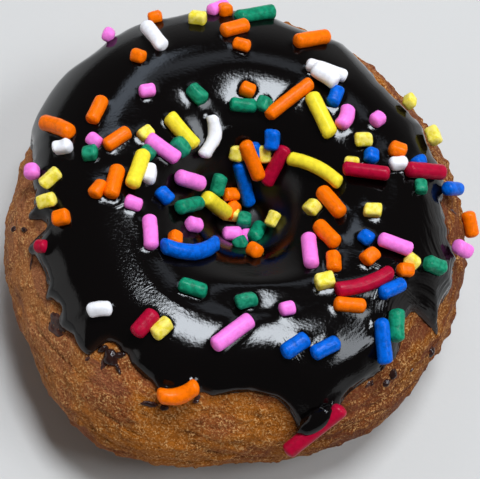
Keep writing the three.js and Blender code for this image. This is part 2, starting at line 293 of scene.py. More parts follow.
class DoughSettings(bpy.types.PropertyGroup):
    """Sizes and colours of the fried ring."""

    outside_radius: length("Outside radius", "From the hole's axis to the crust, on average", 31.6)
    hole_radius: length("Hole radius", "Radius of the hole at its waist", 4.2)
    waist_height: length("Waist height", "Height of the widest level of the ring", 10.5)
    crown_height: length("Crown height", "Height of the top of the dough", 22.9)
    rest_angle: angle("Rest angle", "Section angle below which the underside is flat", 70)
    crag_depth: length("Crag depth", "Deepest of the long hollows of the crust", 0.6)
    grain: length("Crumb grain", "Width of the crumbs that show in the crust", 0.3)
    golden: colour("Golden crust", "Granular crust with the lightest bake", "#b2661c")
    brown: colour("Brown crust", "Granular crust that is fried longer", "#9c5428")
    skin: colour("Skin", "Smooth, well fried skin between the crumbs", "#8a4a2e")
    # Painted light: the crust on the left is drawn paler, where the left wall lights it.
    pale: colour("Pale side", "Crust that is fried least, on the left", "#b67850")
    # Also the colour of the painted shade in the crust's hollows, folds and pits, and just below the icing's
    # edge at the front.
    dark: colour("Dark crust", "Crust low down and in the pits", "#481e06")
    crumb: colour("Crumb", "Torn light crumb", "#dea86c")


class IcingSettings(bpy.types.PropertyGroup):
    """Sizes and colours of the chocolate icing."""

    gap: length("Gap", "From the dough to the icing's underside in the solid", 0.3)
    thickness: length("Thickness", "Thickness of the icing", 1.0)
    pool_height: length("Pool height", "The icing closes the hole at this height", 14.0)
    pool_dish: number("Pool dish", "How fast the pool rises from its middle, per millimetre", 0.02)
    pool_blend: length("Pool blend", "Softness of the line where the pool meets the wall", 0.8)
    pool_depth: length("Pool depth", "Thickness of the pool", 1.4)
    ripple: length("Ripple", "Height of the low waves in the set icing", 0.10)
    thick_colour: colour("Icing", "Chocolate icing where it is thick", "#050303")
    thin_colour: colour("Thin icing", "Chocolate icing at its edge", "#26150d")
    drop_colour: colour("Drop", "A drop of icing", "#190d0c")
    smear_colour: colour("Smear", "A smear of icing, with the crust showing through", "#54332a")


class StrandSettings(bpy.types.PropertyGroup):
    """Sizes and colours of the sugar strands."""

    radius: length("Radius", "Radius of a strand", 0.97)
    sink: length("Sink", "How deep a strand sits in the icing", 0.38)
    meniscus: length("Meniscus", "How far the icing climbs up a strand", 0.15)
    orange: colour("Orange", "Orange sugar", "#ff7402")
    yellow: colour("Yellow", "Yellow sugar", "#fbe436")
    pink: colour("Pink", "Pink sugar", "#ff82e0")
    green: colour("Green", "Green sugar", "#148e68")
    blue: colour("Blue", "Blue sugar", "#0064d4")
    red: colour("Red", "Red sugar", "#b20a32")
    white: colour("White", "White sugar", "#f6f4f6")


class StageSettings(bpy.types.PropertyGroup):
    """The camera, the floor and the lights."""

    aim_height: length("Aim height", "Height of the point that the camera looks at", 11)
    distance: length("Distance", "From that point to the camera", 200)
    tilt: angle("Tilt", "How far the camera leans from looking straight down", 28)
    roll: angle("Roll", "Turn of the picture", 17)
    lens: FloatProperty(name="Lens", description="Focal length", default=114, unit="CAMERA")
    aim_right: length("Aim right", "How far the aim is right of the hole's axis", 0.49)
    aim_down: length("Aim down", "How far the aim is below the hole's axis", 0.79)
    light_distance: length("Light distance", "From the doughnut to each softbox", 900)
    floor: colour("Floor", "Pale floor", "#c9c6c2")
    left_wall: number("Left wall", "Brightness of the wall on the left", 0.85)
    right_wall: number("Right wall", "Brightness of the wall on the right", 0.65)
    back_wall: number("Back wall", "Brightness of the wall at the back", 0.35)
    ceiling: number("Ceiling", "Brightness of the dim ceiling", 0.1)


# ---- The ring's surface, in millimetres and degrees ----


def cosine(degrees):
    return math.cos(math.radians(degrees))


def sine(degrees):
    return math.sin(math.radians(degrees))


def smooth_step(value):
    value = min(max(value, 0), 1)
    return value * value * (3 - 2 * value)


def mix(a, b, share):
    return a + (b - a) * share


def clock_gap(clock, at):
    """Degrees from one clock angle to another, the short way round."""
    return (clock - at + 180) % 360 - 180


def ring_noise(clock, radius, level):
    """Noise taken along a circle, so that it joins up after a full turn."""
    return noise.noise(Vector((radius * cosine(clock), radius * sine(clock), level)))


@functools.lru_cache(maxsize=None)
def outline_push(clock):
    """How far the lobes push the crust out at a clock angle."""
    return sum(rise * cosine(waves * (clock - at)) for waves, rise, at in OUTLINE_LOBES)


class Ring:
    """Plan outline and cross-section of the doughnut round the hole's axis."""

    def __init__(self, scene):
        dough = scene.doughnut_dough
        icing = scene.doughnut_icing
        self.outside = dough.outside_radius / MM
        self.hole = dough.hole_radius / MM
        self.waist = dough.waist_height / MM
        self.crown = dough.crown_height / MM
        self.rest = math.degrees(dough.rest_angle)
        self.crag_depth = dough.crag_depth / MM
        self.cover = (icing.gap + icing.thickness) / MM
        self.pool = icing.pool_height / MM
        self.pool_dish = icing.pool_dish
        self.pool_blend = icing.pool_blend / MM
        self.pool_depth = icing.pool_depth / MM
        self.ripple_height = icing.ripple / MM

    def crust_radius(self, clock):
        return self.outside + outline_push(round(clock, 2))

    def widths(self, clock, cover):
        """The radius of the section's middle, and its half width."""
        outside = self.crust_radius(clock)
        return (outside + self.hole) / 2, (outside - self.hole) / 2 + cover

    def section(self, clock, angle, cover):
        """A point of the smooth cross-section, with a cover of that thickness over the dough."""
        middle, across = self.widths(clock, cover)
        above = self.crown - self.waist + cover
        below = self.waist / sine(self.rest) + cover
        height = above if sine(angle) > 0 else below
        r = middle + across * cosine(angle)
        z = max(self.waist + height * sine(angle), 0)
        return Vector((r * cosine(clock), r * sine(clock), z))

    def crag(self, point):
        """Depth of the long hollows of the crust, always cut in."""
        swell = 1.0
        for order, (wave, towards, share) in enumerate(WRINKLES):
            way = point.dot(Vector(towards).normalized())
            swell += share * math.sin(2 * math.pi * way / wave + order)
        return self.crag_depth * swell / 2 * min(point.z / CRAG_FADE, 1)

    def drawn(self, point):
        """A place on the crust with the way round the ring cut short, for marks drawn along it."""
        middle, across = self.widths(0, 0)
        r = max(math.hypot(point.x, point.y), 0.01)
        slope = math.atan2(point.z - self.waist, r - middle)
        return Vector((point.x / r * DRAWN_RADIUS, point.y / r * DRAWN_RADIUS, slope * across))

    def relief(self, point):
        """Depth of all that is cut into the crust: hollows, folds, and crumbs that stand out."""
        lump_size, lump_depth = LUMPS
        fold_size, fold_depth = FOLDS
        grain_size, grain_depth = GRAINS
        crumb_size, crumb_depth = CRUMBS
        lumps = lump_depth * (noise.fractal(point / lump_size, 1.0, 2.1, 3) + 0.3)
        line = abs(noise.noise(self.drawn(point) / fold_size + Vector((7, 3, 1))))
        fold = max(1 - line * FOLD_SHARPNESS, 0)
        grain = grain_depth * noise.noise(point / grain_size)
        swell = noise.noise(point / crumb_size + Vector((2, 9, 4)))
        crumb = crumb_depth * max(swell - CRUMB_LEVEL, 0)
        fade = min(point.z / RELIEF_FADE, 1)
        return self.crag(point) + fade * (lumps + fold_depth * fold * fold + grain - crumb)

    def crust(self, clock, angle, cover=0.0):
        """A point of the fried crust, or that far above it."""
        smooth = self.section(clock, angle, 0)
        depth = self.relief(smooth)
        point = self.section(clock, angle, cover - depth)
        if smooth.z == 0 and cover == 0:
            point.z = 0
        return point

    def top_height(self, x, y, cover):
        """Height of the icing, or of a smooth crust where cover is 0, over a point in plan."""
        clock = math.degrees(math.atan2(y, x))
        r = math.hypot(x, y)
        middle, across = self.widths(clock, cover)
        reach = min(abs(r - middle) / across, 1)
        wall = self.waist + (self.crown - self.waist + cover) * math.sqrt(1 - reach * reach)
        if r >= middle:
            return wall
        pool = self.pool + self.pool_dish * r * r
        return wall + self.pool_blend * math.log1p(math.exp((pool - wall) / self.pool_blend))

    def ripple(self, x, y):
        """Low waves of the set icing, and its rolls, as a change of height."""
        spot = Vector((x, y, 0))
        height = self.ripple_height * noise.noise(spot / 9)
        clock = math.degrees(math.atan2(y, x))
        r = math.hypot(x, y)
        for at, radius, along, across, rise in ICING_ROLLS:
            away = math.radians(clock_gap(clock, at)) * radius
            height += rise * math.exp(-((away / along) ** 2) - ((r - radius) / across) ** 2)
        return height


@functools.lru_cache(maxsize=None)
def icing_edge(clock):
    """Section angle of the icing's edge, drawn smoothly through the points of ICING_EDGE."""
    clock = (clock - ICING_EDGE[0][0]) % 360 + ICING_EDGE[0][0]
    count = len(ICING_EDGE)
    after = next((i for i in range(count) if ICING_EDGE[i][0] > clock), count)
    spots = []
    for i in range(after - 2, after + 2):
        at, stop = ICING_EDGE[i % count]
        spots.append((at + 360 * (i // count), stop))
    (c0, e0), (c1, e1), (c2, e2), (c3, e3) = spots
    share = (clock - c1) / (c2 - c1)
    slope_in = (e2 - e0) / (c2 - c0) * (c2 - c1)
    slope_out = (e3 - e1) / (c3 - c1) * (c2 - c1)
    cube, square = share**3, share**2
    smooth = (2 * cube - 3 * square + 1) * e1 + (3 * square - 2 * cube) * e2
    smooth += (cube - 2 * square + share) * slope_in + (cube - square) * slope_out
    return smooth + EDGE_RAGGED * ring_noise(clock, 20, 0)


def near_clock(clock, at, reach):
    """1 at a clock angle, and falling off on both sides of it."""
    return math.exp(-((clock_gap(clock, at) / reach) ** 2))


def edge_thickness(clock):
    """Thickness of the icing just inside its edge: thin at the front, and fuller on the left."""
    thickness = EDGE_THICKNESS + EDGE_WANDER * ring_noise(clock, 6, 4)
    thickness += LEFT_FULLER * near_clock(clock, *LEFT)
    return thickness - FRONT_THINNER * near_clock(clock, *FRONT)


# ---- Pieces ----


def clock_of(point):
    return round(math.degrees(math.atan2(point.y, point.x)), 2)


def add_piece(bm, name, material, nodes):
    """Puts a bmesh, worked out in millimetres round the hole's axis, into the part's frame."""
    bmesh.ops.transform(bm, matrix=Matrix.Scale(MM, 4) @ Matrix.Translation(HOLE_AXIS), verts=bm.verts)
    mesh = bpy.data.meshes.new(name)
    bm.to_mesh(mesh)
    bm.free()
    mesh.shade_smooth()
    mesh.materials.append(material)
    piece = bpy.data.objects.new(name, mesh)
    bpy.context.scene.collection.objects.link(piece)
    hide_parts(*nodes)
    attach(piece, "root")
    return piece


def dough_mesh(ring):
    """A torus spun from a circle, each point then moved out to the crust."""
    bm = bmesh.new()
    spine = 3.0  # any ring will do, because every point is moved
    upright = Matrix.Translation((spine, 0, 0)) @ Matrix.Rotation(math.pi / 2, 4, "X")
    bmesh.ops.create_circle(bm, segments=DOUGH_STEPS, radius=1.0, matrix=upright)
    bmesh.ops.spin(
        bm, geom=bm.verts[:] + bm.edges[:], cent=(0, 0, 0), axis=(0, 0, 1), angle=2 * math.pi,
        steps=CLOCK_STEPS, use_merge=True,
    )
    drawn = bm.verts.layers.float_vector.new("drawn")
    depth = bm.verts.layers.float.new("depth")
    soaked = bm.verts.layers.float.new("soaked")
    tree = edge_tree(ring)
    for vert in bm.verts:
        around = math.atan2(vert.co.z, math.hypot(vert.co.x, vert.co.y) - spine)
        closer = math.degrees(around - ROW_CROWDING * math.sin(around))
        clock = clock_of(vert.co)
        smooth = ring.section(clock, closer, 0)
        vert[drawn] = ring.drawn(smooth)
        vert[depth] = ring.relief(smooth)
        from_edge = tree.find(smooth)[2]
        # Painted shade: marks the crust just below the icing's edge at the front, to be darkened.
        vert[soaked] = near_clock(clock, *FRONT) * (1 - smooth_step(from_edge / EDGE_SHADE_REACH))
        vert.co = ring.crust(clock, closer)
    bmesh.ops.recalc_face_normals(bm, faces=bm.faces)
    return bm


def strand_place(ring, strand, order, cover, settings):
    """A strand's own frame and sizes: (matrix, length, radius, bend, lift)."""
    x, y = strand[:2]
    size = strand[2] if len(strand) > 2 else NUB_LENGTH
    heading = strand[3] if len(strand) > 3 else order * NUB_TURN
    lift = strand[4] if len(strand) > 4 else 0
    bend = strand[5] if len(strand) > 5 else 0
    radius = settings.radius / MM * (1 + RADIUS_VARIES * sine(order * NUB_TURN))
    reach = max(size / 2 - radius, radius / 2)

    def height(along, across):
        px = x + along * cosine(heading) - across * sine(heading)
        py = y + along * sine(heading) + across * cosine(heading)
        waves = ring.ripple(px, py) if cover else 0
        return ring.top_height(px, py, cover) + waves

    rise = (height(reach, 0) - height(-reach, 0)) / (2 * reach)
    side_rise = (height(0, radius) - height(0, -radius)) / (2 * radius)
    along = Vector((cosine(heading), sine(heading), rise)).normalized()
    side = Vector((-sine(heading), cosine(heading), side_rise))
    out = along.cross(side).normalized()
    level = max(height(0, 0), (height(reach, 0) + height(-reach, 0)) / 2)
    centre = Vector((x, y, level)) + out * (radius - settings.sink / MM + lift)
    across = along.cross(out)
    place = Matrix((across, along, out)).transposed().to_4x4()
    place.translation = centre
    return place, size, radius, bend, lift


def icing_strands(ring, settings):
    """The places of all the strands that are set in the icing, by colour."""
    order = 0
    places = {}
    for name, strands in STRANDS.items():
        places[name] = []
        for strand in strands:
            places[name].append(strand_place(ring, strand, order, ring.cover, settings))
            order += 1
    return places


def edge_tree(ring):
    """The points of the icing's edge, for finding how far a point is from it."""
    steps = CLOCK_STEPS * 4
    tree = kdtree.KDTree(steps)
    for i in range(steps):
        clock = 360 * i / steps
        tree.insert(ring.section(clock, icing_edge(clock), 0), i)
    tree.balance()
    return tree


def icing_under(ring, clock, share):
    """A point of the icing's underside, from the middle of the pool out to the edge."""
    pool_share = 0.15
    if share < pool_share:
        r = ring.hole * share / pool_share
        return Vector((r * cosine(clock), r * sine(clock), ring.pool - ring.pool_depth))
    way = (share - pool_share) / (1 - pool_share)
    edge = icing_edge(clock)
    return ring.crust(clock, mix(POOL_ANGLE + 5, edge, way), -0.1)


def icing_top(ring, clock, row, tree):
    """A point of the icing's surface and its distance from the edge. Row counts in from it."""
    edge = icing_edge(clock)
    front = near_clock(clock, *FRONT)
    if row <= ICING_BEAD_ROWS:
        stand = edge + BEAD_ANGLE * (row / ICING_BEAD_ROWS) ** BEAD_CROWDING
    else:
        way = (row - ICING_BEAD_ROWS) / ICING_TOP_ROWS
        stand = mix(edge + BEAD_ANGLE, POOL_ANGLE, min(way, 1))
    bare = ring.section(clock, stand, 0)
    away = tree.find(bare)[2]
    smooth = ring.section(clock, stand, ring.cover)
    pool_row = row - ICING_BEAD_ROWS - ICING_TOP_ROWS
    if pool_row > 0:
        share = 1 - pool_row / ICING_POOL_ROWS
        smooth.x *= share
        smooth.y *= share
    full = smooth_step(away / EDGE_BLEND)
    waves = ring.ripple(smooth.x, smooth.y) * full
    if stand > 90:
        smooth.z = ring.top_height(smooth.x, smooth.y, ring.cover) + waves
        return smooth, away
    reach = BEAD_REACH * (1 - 0.5 * front)
    rounded = 1 - (1 - min(away / reach, 1)) ** 2
    thickness = edge_thickness(clock) * math.sqrt(rounded)
    filled = smooth_step(away / (FILL_REACH - 1.4 * front))
    near = thickness - ring.relief(bare) * (1 - filled)
    cover = mix(near, ring.cover + waves, full)
    return ring.section(clock, stand, cover), away


def raise_menisci(bm, places, tops, settings):
    """Draws the icing up round each strand that is set in it, higher where it sits deeper."""
    tree = kdtree.KDTree(len(tops))
    for i, vert in enumerate(tops):
        tree.insert(vert.co, i)
    tree.balance()
    height = settings.meniscus / MM
    for place, size, radius, bend, lift in places:
        if lift > HELD_OFF:
            continue
        back = place.inverted()
        out = place.to_3x3() @ Vector((0, 0, 1))
        for _, i, _ in tree.find_range(place.translation, size / 2 + 2.0):
            spot = back @ tops[i].co
            half = max(size / 2 - radius, 0.2)
            past = max(abs(spot.y) - half, 0)
            aside = spot.x - bend * (1 - min((spot.y / half) ** 2, 1))
            gap = max(math.hypot(past, aside) - radius * 0.85, 0)
            tops[i].co += out * height * (1 - lift / HELD_OFF) * math.exp(-gap / MENISCUS_REACH)


def icing_mesh(ring, places, settings):
    """A sphere's grid: its lower rows line the dough, and its upper rows are the surface."""
    bm = bmesh.new()
    bmesh.ops.create_uvsphere(bm, u_segments=CLOCK_STEPS, v_segments=ICING_ROWS, radius=1.0)
    thin = bm.verts.layers.float.new("thin")
    pooled = bm.verts.layers.float.new("pooled")
    runny = bm.verts.layers.float.new("runny")
    flow = bm.verts.layers.float_vector.new("flow")
    tree = edge_tree(ring)
    pool_radius, pool_fade = POOL_MATT
    depth, fade = STREAK_DEPTH
    tops = []
    for vert in bm.verts:
        row = round(math.acos(max(min(-vert.co.z, 1), -1)) / math.pi * ICING_ROWS)
        clock = clock_of(vert.co)
        if row < ICING_UNDER_ROWS:
            vert.co = icing_under(ring, clock, row / ICING_UNDER_ROWS)
            continue
        vert.co, away = icing_top(ring, clock, row - ICING_UNDER_ROWS, tree)
        vert[thin] = 1 - smooth_step(away)
        vert[pooled] = 1 - smooth_step((vert.co.xy.length - pool_radius) / pool_fade)
        vert[runny] = near_clock(clock, *STREAKED) * (1 - smooth_step((away - depth) / fade))
        vert[flow] = (math.radians(clock) * STREAK_STRETCH, away, 0)
        tops.append(vert)
    raise_menisci(bm, [p for same in places.values() for p in same], tops, settings)
    return bm


def strand_mesh(bm, place, size, radius, bend, seed, look):
    """Adds one rod of pressed sugar with blunt, slightly uneven ends, squarer where it is short."""
    _, square, lumpy, _ = look
    pale = bm.verts.layers.float["pale"]
    short = size < SHORT_STRAND
    square *= short
    radius *= 1 - BIT_THINNER * short
    size *= 1 - BIT_SHORTER * short
    power = 2 + 4 * square  # 2 is a round section, and more is squarer
    own_turn = seed * 0.9  # so that no two show the same side
    rows, cap_rows = ROD_ROWS, ROD_END_ROWS
    made = bmesh.ops.create_uvsphere(bm, u_segments=ROD_POINTS, v_segments=rows, radius=1.0)
    blunt = mix(0.62, 0.42, square)  # an end bulges out by this share of the radius
    body = size / 2 - blunt * radius
    for vert in made["verts"]:
        row = math.acos(max(min(vert.co.z, 1), -1)) / math.pi * rows
        turn = math.atan2(vert.co.y, vert.co.x)
        from_end = min(row, rows - row)
        if from_end < cap_rows:
            slope = math.pi / 2 * from_end / cap_rows
            wide = radius * math.sin(slope) ** (0.85 - 0.25 * square)
            along = body + blunt * radius * math.cos(slope)
            along = math.copysign(along, rows / 2 - row)
        else:
            wide = radius
            along = mix(body, -body, (row - cap_rows) / (rows - 2 * cap_rows))
        flat = abs(math.cos(turn - own_turn)) ** power + abs(math.sin(turn - own_turn)) ** power
        wide *= flat ** (-1 / power) * (1 - SQUARE_SMALLER * square)
        vert[pale] = short
        spot = Vector((wide * math.cos(turn), along, wide * math.sin(turn)))
        lump = noise.noise(spot / 1.6 + Vector((seed * 3.7, 0, 0)))
        pit = noise.noise(spot / 0.7 + Vector((0, seed * 2.3, 0)))
        spot *= 1 + lumpy * (1 + short) * lump + 0.3 * lumpy * pit
        spot.x += bend * (1 - min((along / max(body, 0.1)) ** 2, 1))
        vert.co = place @ spot
    return made["verts"]


def smear_mesh(bm, ring, smear, seed):
    """Adds one drop or smear of icing that has run onto the crust."""
    thin = bm.verts.layers.float["thin"]
    clock, angle, size, width, height, turn = smear
    made = bmesh.ops.create_uvsphere(bm, u_segments=28, v_segments=14, radius=1.0)
    middle, across = ring.widths(clock, 0)
    for vert in made["verts"]:
        wobble = 1 + 0.35 * noise.noise(vert.co * 1.3 + Vector((seed * 5.1, 0, 0)))
        vert[thin] = 1 - 0.8 * smooth_step(vert.co.z * height / 0.3)
        x = vert.co.x * size / 2 * wobble
        y = vert.co.y * width / 2 * wobble
        along = x * cosine(turn) - y * sine(turn)
        up = x * sine(turn) + y * cosine(turn)
        here_clock = clock + math.degrees(along / ring.crust_radius(clock))
        here_angle = angle + math.degrees(up / across)
        lift = max(vert.co.z, -0.3) * height
        vert.co = ring.crust(here_clock, here_angle, lift)
    return made["verts"]


def cover_mesh(bm, ring, place):
    """Adds the icing that runs over one side of a strand, bent to the ring's section."""
    along, aside, half_length, half_width, height = DRIP_COVER
    across = ring.widths(0, 0)[1]
    made = bmesh.ops.create_uvsphere(bm, u_segments=36, v_segments=18, radius=1.0)
    for vert in made["verts"]:
        wobble = 1 + 0.15 * noise.noise(vert.co * 2)
        x = aside + vert.co.x * half_width * wobble
        y = along + vert.co.y * half_length * wobble
        vert.co = place @ Vector((x, y, vert.co.z * height - x * x / (2 * across)))
    return made["verts"]


# ---- Materials ----


def add_node(tree, kind, inputs=None, **settings):
    """Adds a node. Inputs are values for its sockets, or other nodes' output sockets."""
    node = tree.nodes.new(kind)
    for name, value in settings.items():
        setattr(node, name, value)
    for socket, value in (inputs or {}).items():
        if isinstance(value, bpy.types.NodeSocket):
            tree.links.new(value, node.inputs[socket])
        else:
            node.inputs[socket].default_value = value
    return node


def new_material(name):
    """A material with only a Principled shader, its tree, and a socket of millimetres."""
    material = bpy.data.materials.new(name)
    material.use_nodes = True
    tree = material.node_tree
    shader = tree.nodes["Principled BSDF"]
    place = add_node(tree, "ShaderNodeTexCoord")
    scaled = add_node(
        tree, "ShaderNodeMapping", {"Vector": place.outputs["Object"], "Scale": (1 / MM,) * 3}
    )
    return material, tree, shader, scaled.outputs["Vector"]


def carried(tree, name, output="Fac"):
    """A value that the mesh carries at each of its points."""
    return add_node(tree, "ShaderNodeAttribute", attribute_name=name).outputs[output]


def pattern(tree, place, size, detail=3.0, roughness=0.55):
    """Noise whose lumps are about that many millimetres wide."""
    return add_node(
        tree, "ShaderNodeTexNoise",
        {"Vector": place, "Scale": 1 / size, "Detail": detail, "Roughness": roughness},
    ).outputs["Fac"]


def spread(tree, value, low, high, out_low=0.0, out_high=1.0):
    """A value taken smoothly from one range to another."""
    return add_node(
        tree, "ShaderNodeMapRange",
        {"Value": value, "From Min": low, "From Max": high, "To Min": out_low, "To Max": out_high},
        interpolation_type="SMOOTHSTEP",
    ).outputs["Result"]


def blend(tree, share, a, b):
    """A mix of two colours. The sockets are given by number, because their names repeat."""
    a, b = (c if isinstance(c, bpy.types.NodeSocket) else (*c, 1) for c in (a, b))
    return add_node(tree, "ShaderNodeMix", {0: share, 6: a, 7: b}, data_type="RGBA").outputs[2]


def times(tree, a, b):
    return add_node(tree, "ShaderNodeMath", {0: a, 1: b}, operation="MULTIPLY").outputs[0]


def plus(tree, a, b):
    return add_node(tree, "ShaderNodeMath", {0: a, 1: b}).outputs[0]


def bump(tree, height, distance, under=None):
    """Fine relief that many millimetres deep, on top of another one."""
    inputs = {"Height": height, "Distance": distance * MM, "Strength": 1.0}
    if under is not None:
        inputs["Normal"] = under
    return add_node(tree, "ShaderNodeBump", inputs).outputs["Normal"]


def fried_crust(settings):
    """Fried cake dough: granular golden crumb, with smooth brown skin in bands along the ring."""
    material, tree, shader, place = new_material("fried_cake_crust")
    drawn = carried(tree, "drawn", "Vector")
    depth = carried(tree, "depth")
    parts = add_node(tree, "ShaderNodeSeparateXYZ", {"Vector": place})
    patches = pattern(tree, place, 6.0, 3)
    bands = pattern(tree, drawn, 2.6, 3)
    streaks = pattern(tree, drawn, 0.8, 3, 0.65)
    mottle = pattern(tree, place, 1.3, 4, 0.65)
    grain = pattern(tree, place, settings.grain / MM, 3, 0.75)

    brown = blend(tree, spread(tree, patches, 0.44, 0.62), settings.golden, settings.brown)
    from_front = add_node(
        tree, "ShaderNodeVectorMath", {0: place, 1: GOLDEN_PLACE}, operation="DISTANCE"
    ).outputs["Value"]
    skin = times(tree, spread(tree, bands, 0.50, 0.60), spread(tree, from_front, 8.0, 14.0))
    skinned = blend(tree, skin, brown, settings.skin)
    low = spread(tree, parts.outputs["Z"], 2.0, 12.0, 0.55, 0.0)
    far_side = spread(tree, parts.outputs["X"], 4.0, 24.0, 0.0, 0.45)
    lower = blend(tree, low, skinned, settings.dark)
    # Painted light on the left side of the crust, where the left wall lights it.
    painted_light_left = spread(tree, parts.outputs["X"], -22.0, -4.0, 0.5, 0.0)
    sided = blend(tree, painted_light_left, blend(tree, far_side, lower, settings.dark), settings.pale)
    streaked = blend(tree, spread(tree, streaks, 0.55, 0.72, 0.0, 0.5), sided, settings.dark)
    # Painted shade: darker where the crust's relief cuts deeper, in its hollows and folds.
    crease_shaded = blend(tree, spread(tree, depth, 0.45, 0.95, 0.0, 0.6), streaked, settings.dark)
    spotted = blend(tree, spread(tree, mottle, 0.54, 0.70, 0.0, 0.5), crease_shaded, settings.dark)
    open_crumb = spread(tree, skin, 0.0, 1.0, 1.0, 0.35)
    clusters = times(tree, spread(tree, mottle, 0.40, 0.58, 0.4, 1.0), open_crumb)
    flecks = times(tree, spread(tree, grain, 0.51, 0.60, 0.0, 0.95), clusters)
    flecked = blend(tree, flecks, spotted, settings.crumb)
    # Painted shade in the pits: darker where the fine grain's bump is lowest.
    pits = times(tree, spread(tree, grain, 0.45, 0.28, 0.0, 0.85), open_crumb)
    pitted = blend(tree, pits, flecked, settings.dark)
    # Painted shade on the crust just below the icing's edge at the front.
    soaked = carried(tree, "soaked")
    edge_shaded = blend(tree, times(tree, soaked, 0.75), pitted, settings.dark)
    tree.links.new(edge_shaded, shader.inputs["Base Color"])
    shader.inputs["Roughness"].default_value = 0.6
    shader.inputs["Specular IOR Level"].default_value = 0.06
    coarse = bump(tree, mottle, 0.45)
    fine = bump(tree, grain, 0.35, coarse)
    tree.links.new(fine, shader.inputs["Normal"])
    return material


def chocolate_icing(settings):
    """Set chocolate icing: near black, glassy, and brown only where it runs out thin."""
    material, tree, shader, place = new_material("chocolate_icing")
    thin = carried(tree, "thin")
    body = blend(tree, thin, settings.thick_colour, settings.thin_colour)
    tree.links.new(body, shader.inputs["Base Color"])
    pooled = carried(tree, "pooled")
    tree.links.new(spread(tree, pooled, 0, 1, 0.07, 0.32), shader.inputs["Roughness"])
    shader.inputs["IOR"].default_value = 1.35
    skin = pattern(tree, place, 0.35, 3, 0.6)
    flow = carried(tree, "flow", "Vector")
    runny = carried(tree, "runny")
    runs = bump(tree, times(tree, pattern(tree, flow, 0.6, 1), runny), 0.18)
    tree.links.new(bump(tree, skin, 0.014, runs), shader.inputs["Normal"])
    return material


def thin_icing(settings):
    """Icing in drops and smears: dark, and a translucent purplish brown where it is thinnest."""
    material, tree, shader, place = new_material("thin_icing")
    thin = carried(tree, "thin")
    wander = spread(tree, pattern(tree, place, 0.5), 0.35, 0.65, 0.4, 1.0)
    body = blend(tree, times(tree, thin, wander), settings.drop_colour, settings.smear_colour)
    tree.links.new(body, shader.inputs["Base Color"])
    shader.inputs["Roughness"].default_value = 0.1
    shader.inputs["IOR"].default_value = 1.35
    tree.links.new(bump(tree, pattern(tree, place, 0.5), 0.08), shader.inputs["Normal"])
    return material


def sugar(name, hue, look):
    """Pressed sugar with a waxy glaze: even in colour, satin, with painted shade in its pits that shows as a
    faint mottle.
    """
    material, tree, shader, place = new_material(name)
    pitted, _, _, paler = look
    mottle = pattern(tree, place, 0.6, 3)
    # Painted shade in the pits: the darker colour lies where the bump's mottle is lowest.
    deep = tuple(part * mix(0.94, 0.62, pitted) for part in hue)
    pale = tuple(mix(part, 1, paler) for part in hue)
    bit = carried(tree, "pale")
    light = blend(tree, bit, hue, pale)
    tint = blend(tree, spread(tree, mottle, 0.35, 0.6), deep, light)
    tree.links.new(tint, shader.inputs["Base Color"])
    shader.inputs["Roughness"].default_value = 0.3
    shader.inputs["Specular IOR Level"].default_value = 0.12
    tree.links.new(bump(tree, mottle, mix(0.02, 0.09, pitted)), shader.inputs["Normal"])
    return material


def matt_floor(settings):
    """Matt card with a faint tooth, so that it isn't quite even."""
    material, tree, shader, place = new_material("matt_card")
    shader.inputs["Base Color"].default_value = (*settings.floor, 1)
    shader.inputs["Roughness"].default_value = 0.9
    tree.links.new(bump(tree, pattern(tree, place, 1.5), 0.03), shader.inputs["Normal"])
    return material


# ---- Operators ----


class DOUGHNUT_OT_dough(bpy.types.Operator):
    """Makes the fried ring"""

    bl_idname = "doughnut.dough"
    bl_label = "Dough"

    def execute(self, context):
        ring = Ring(context.scene)
        material = fried_crust(context.scene.doughnut_dough)
        add_piece(dough_mesh(ring), "fried_ring", material, ["dough"])
        return {"FINISHED"}


class DOUGHNUT_OT_icing(bpy.types.Operator):
    """Makes the icing, with its drips and the pool that closes the hole"""

    bl_idname = "doughnut.icing"
    bl_label = "Icing"

    def execute(self, context):
        ring = Ring(context.scene)
        settings = context.scene.doughnut_strands
        material = chocolate_icing(context.scene.doughnut_icing)
        places = icing_strands(ring, settings)
        bm = icing_mesh(ring, places, settings)
        cover_mesh(bm, ring, places["red"][-1][0])
        add_piece(bm, "chocolate_coat", material, ["icing"])
        return {"FINISHED"}


class DOUGHNUT_OT_smears(bpy.types.Operator):
    """Makes the drops and smears of icing on the bare crust"""

    bl_idname = "doughnut.smears"
    bl_label = "Smears"

    def execute(self, context):
        ring = Ring(context.scene)
        bm = bmesh.new()
        bm.verts.layers.float.new("thin")
        for seed, smear in enumerate(SMEARS):
            smear_mesh(bm, ring, smear, seed)
        material = thin_icing(context.scene.doughnut_icing)
        add_piece(bm, "icing_smears", material, ["icing"])
        return {"FINISHED"}


class DOUGHNUT_OT_strands(bpy.types.Operator):
    """Makes the sugar strands, one piece for each colour"""

    bl_idname = "doughnut.strands"
    bl_label = "Sugar strands"

    def execute(self, context):
        ring = Ring(context.scene)
        settings = context.scene.doughnut_strands
        places = icing_strands(ring, settings)
        places["orange"].append(strand_place(ring, CRUST_STRAND, 0, 0, settings))
        for name, same in places.items():
            bm = bmesh.new()
            bm.verts.layers.float.new("pale")
            look = SUGAR_LOOKS[name]
            for seed, (place, size, radius, bend, _) in enumerate(same):
                strand_mesh(bm, place, size, radius, bend, seed, look)
            material = sugar(f"{name}_pressed_sugar", getattr(settings, name), look)
            nodes = ["icing", "dough"] if name == "orange" else ["icing"]
            add_piece(bm, f"strands_{name}", material, nodes)
        return {"FINISHED"}


def direction_of(towards):
    """A direction from degrees away from straight up, along +X and along +Y."""
    away = math.hypot(*towards)
    share = sine(away) / max(away, 0.01)
    return Vector((towards[0] * share, towards[1] * share, cosine(away)))


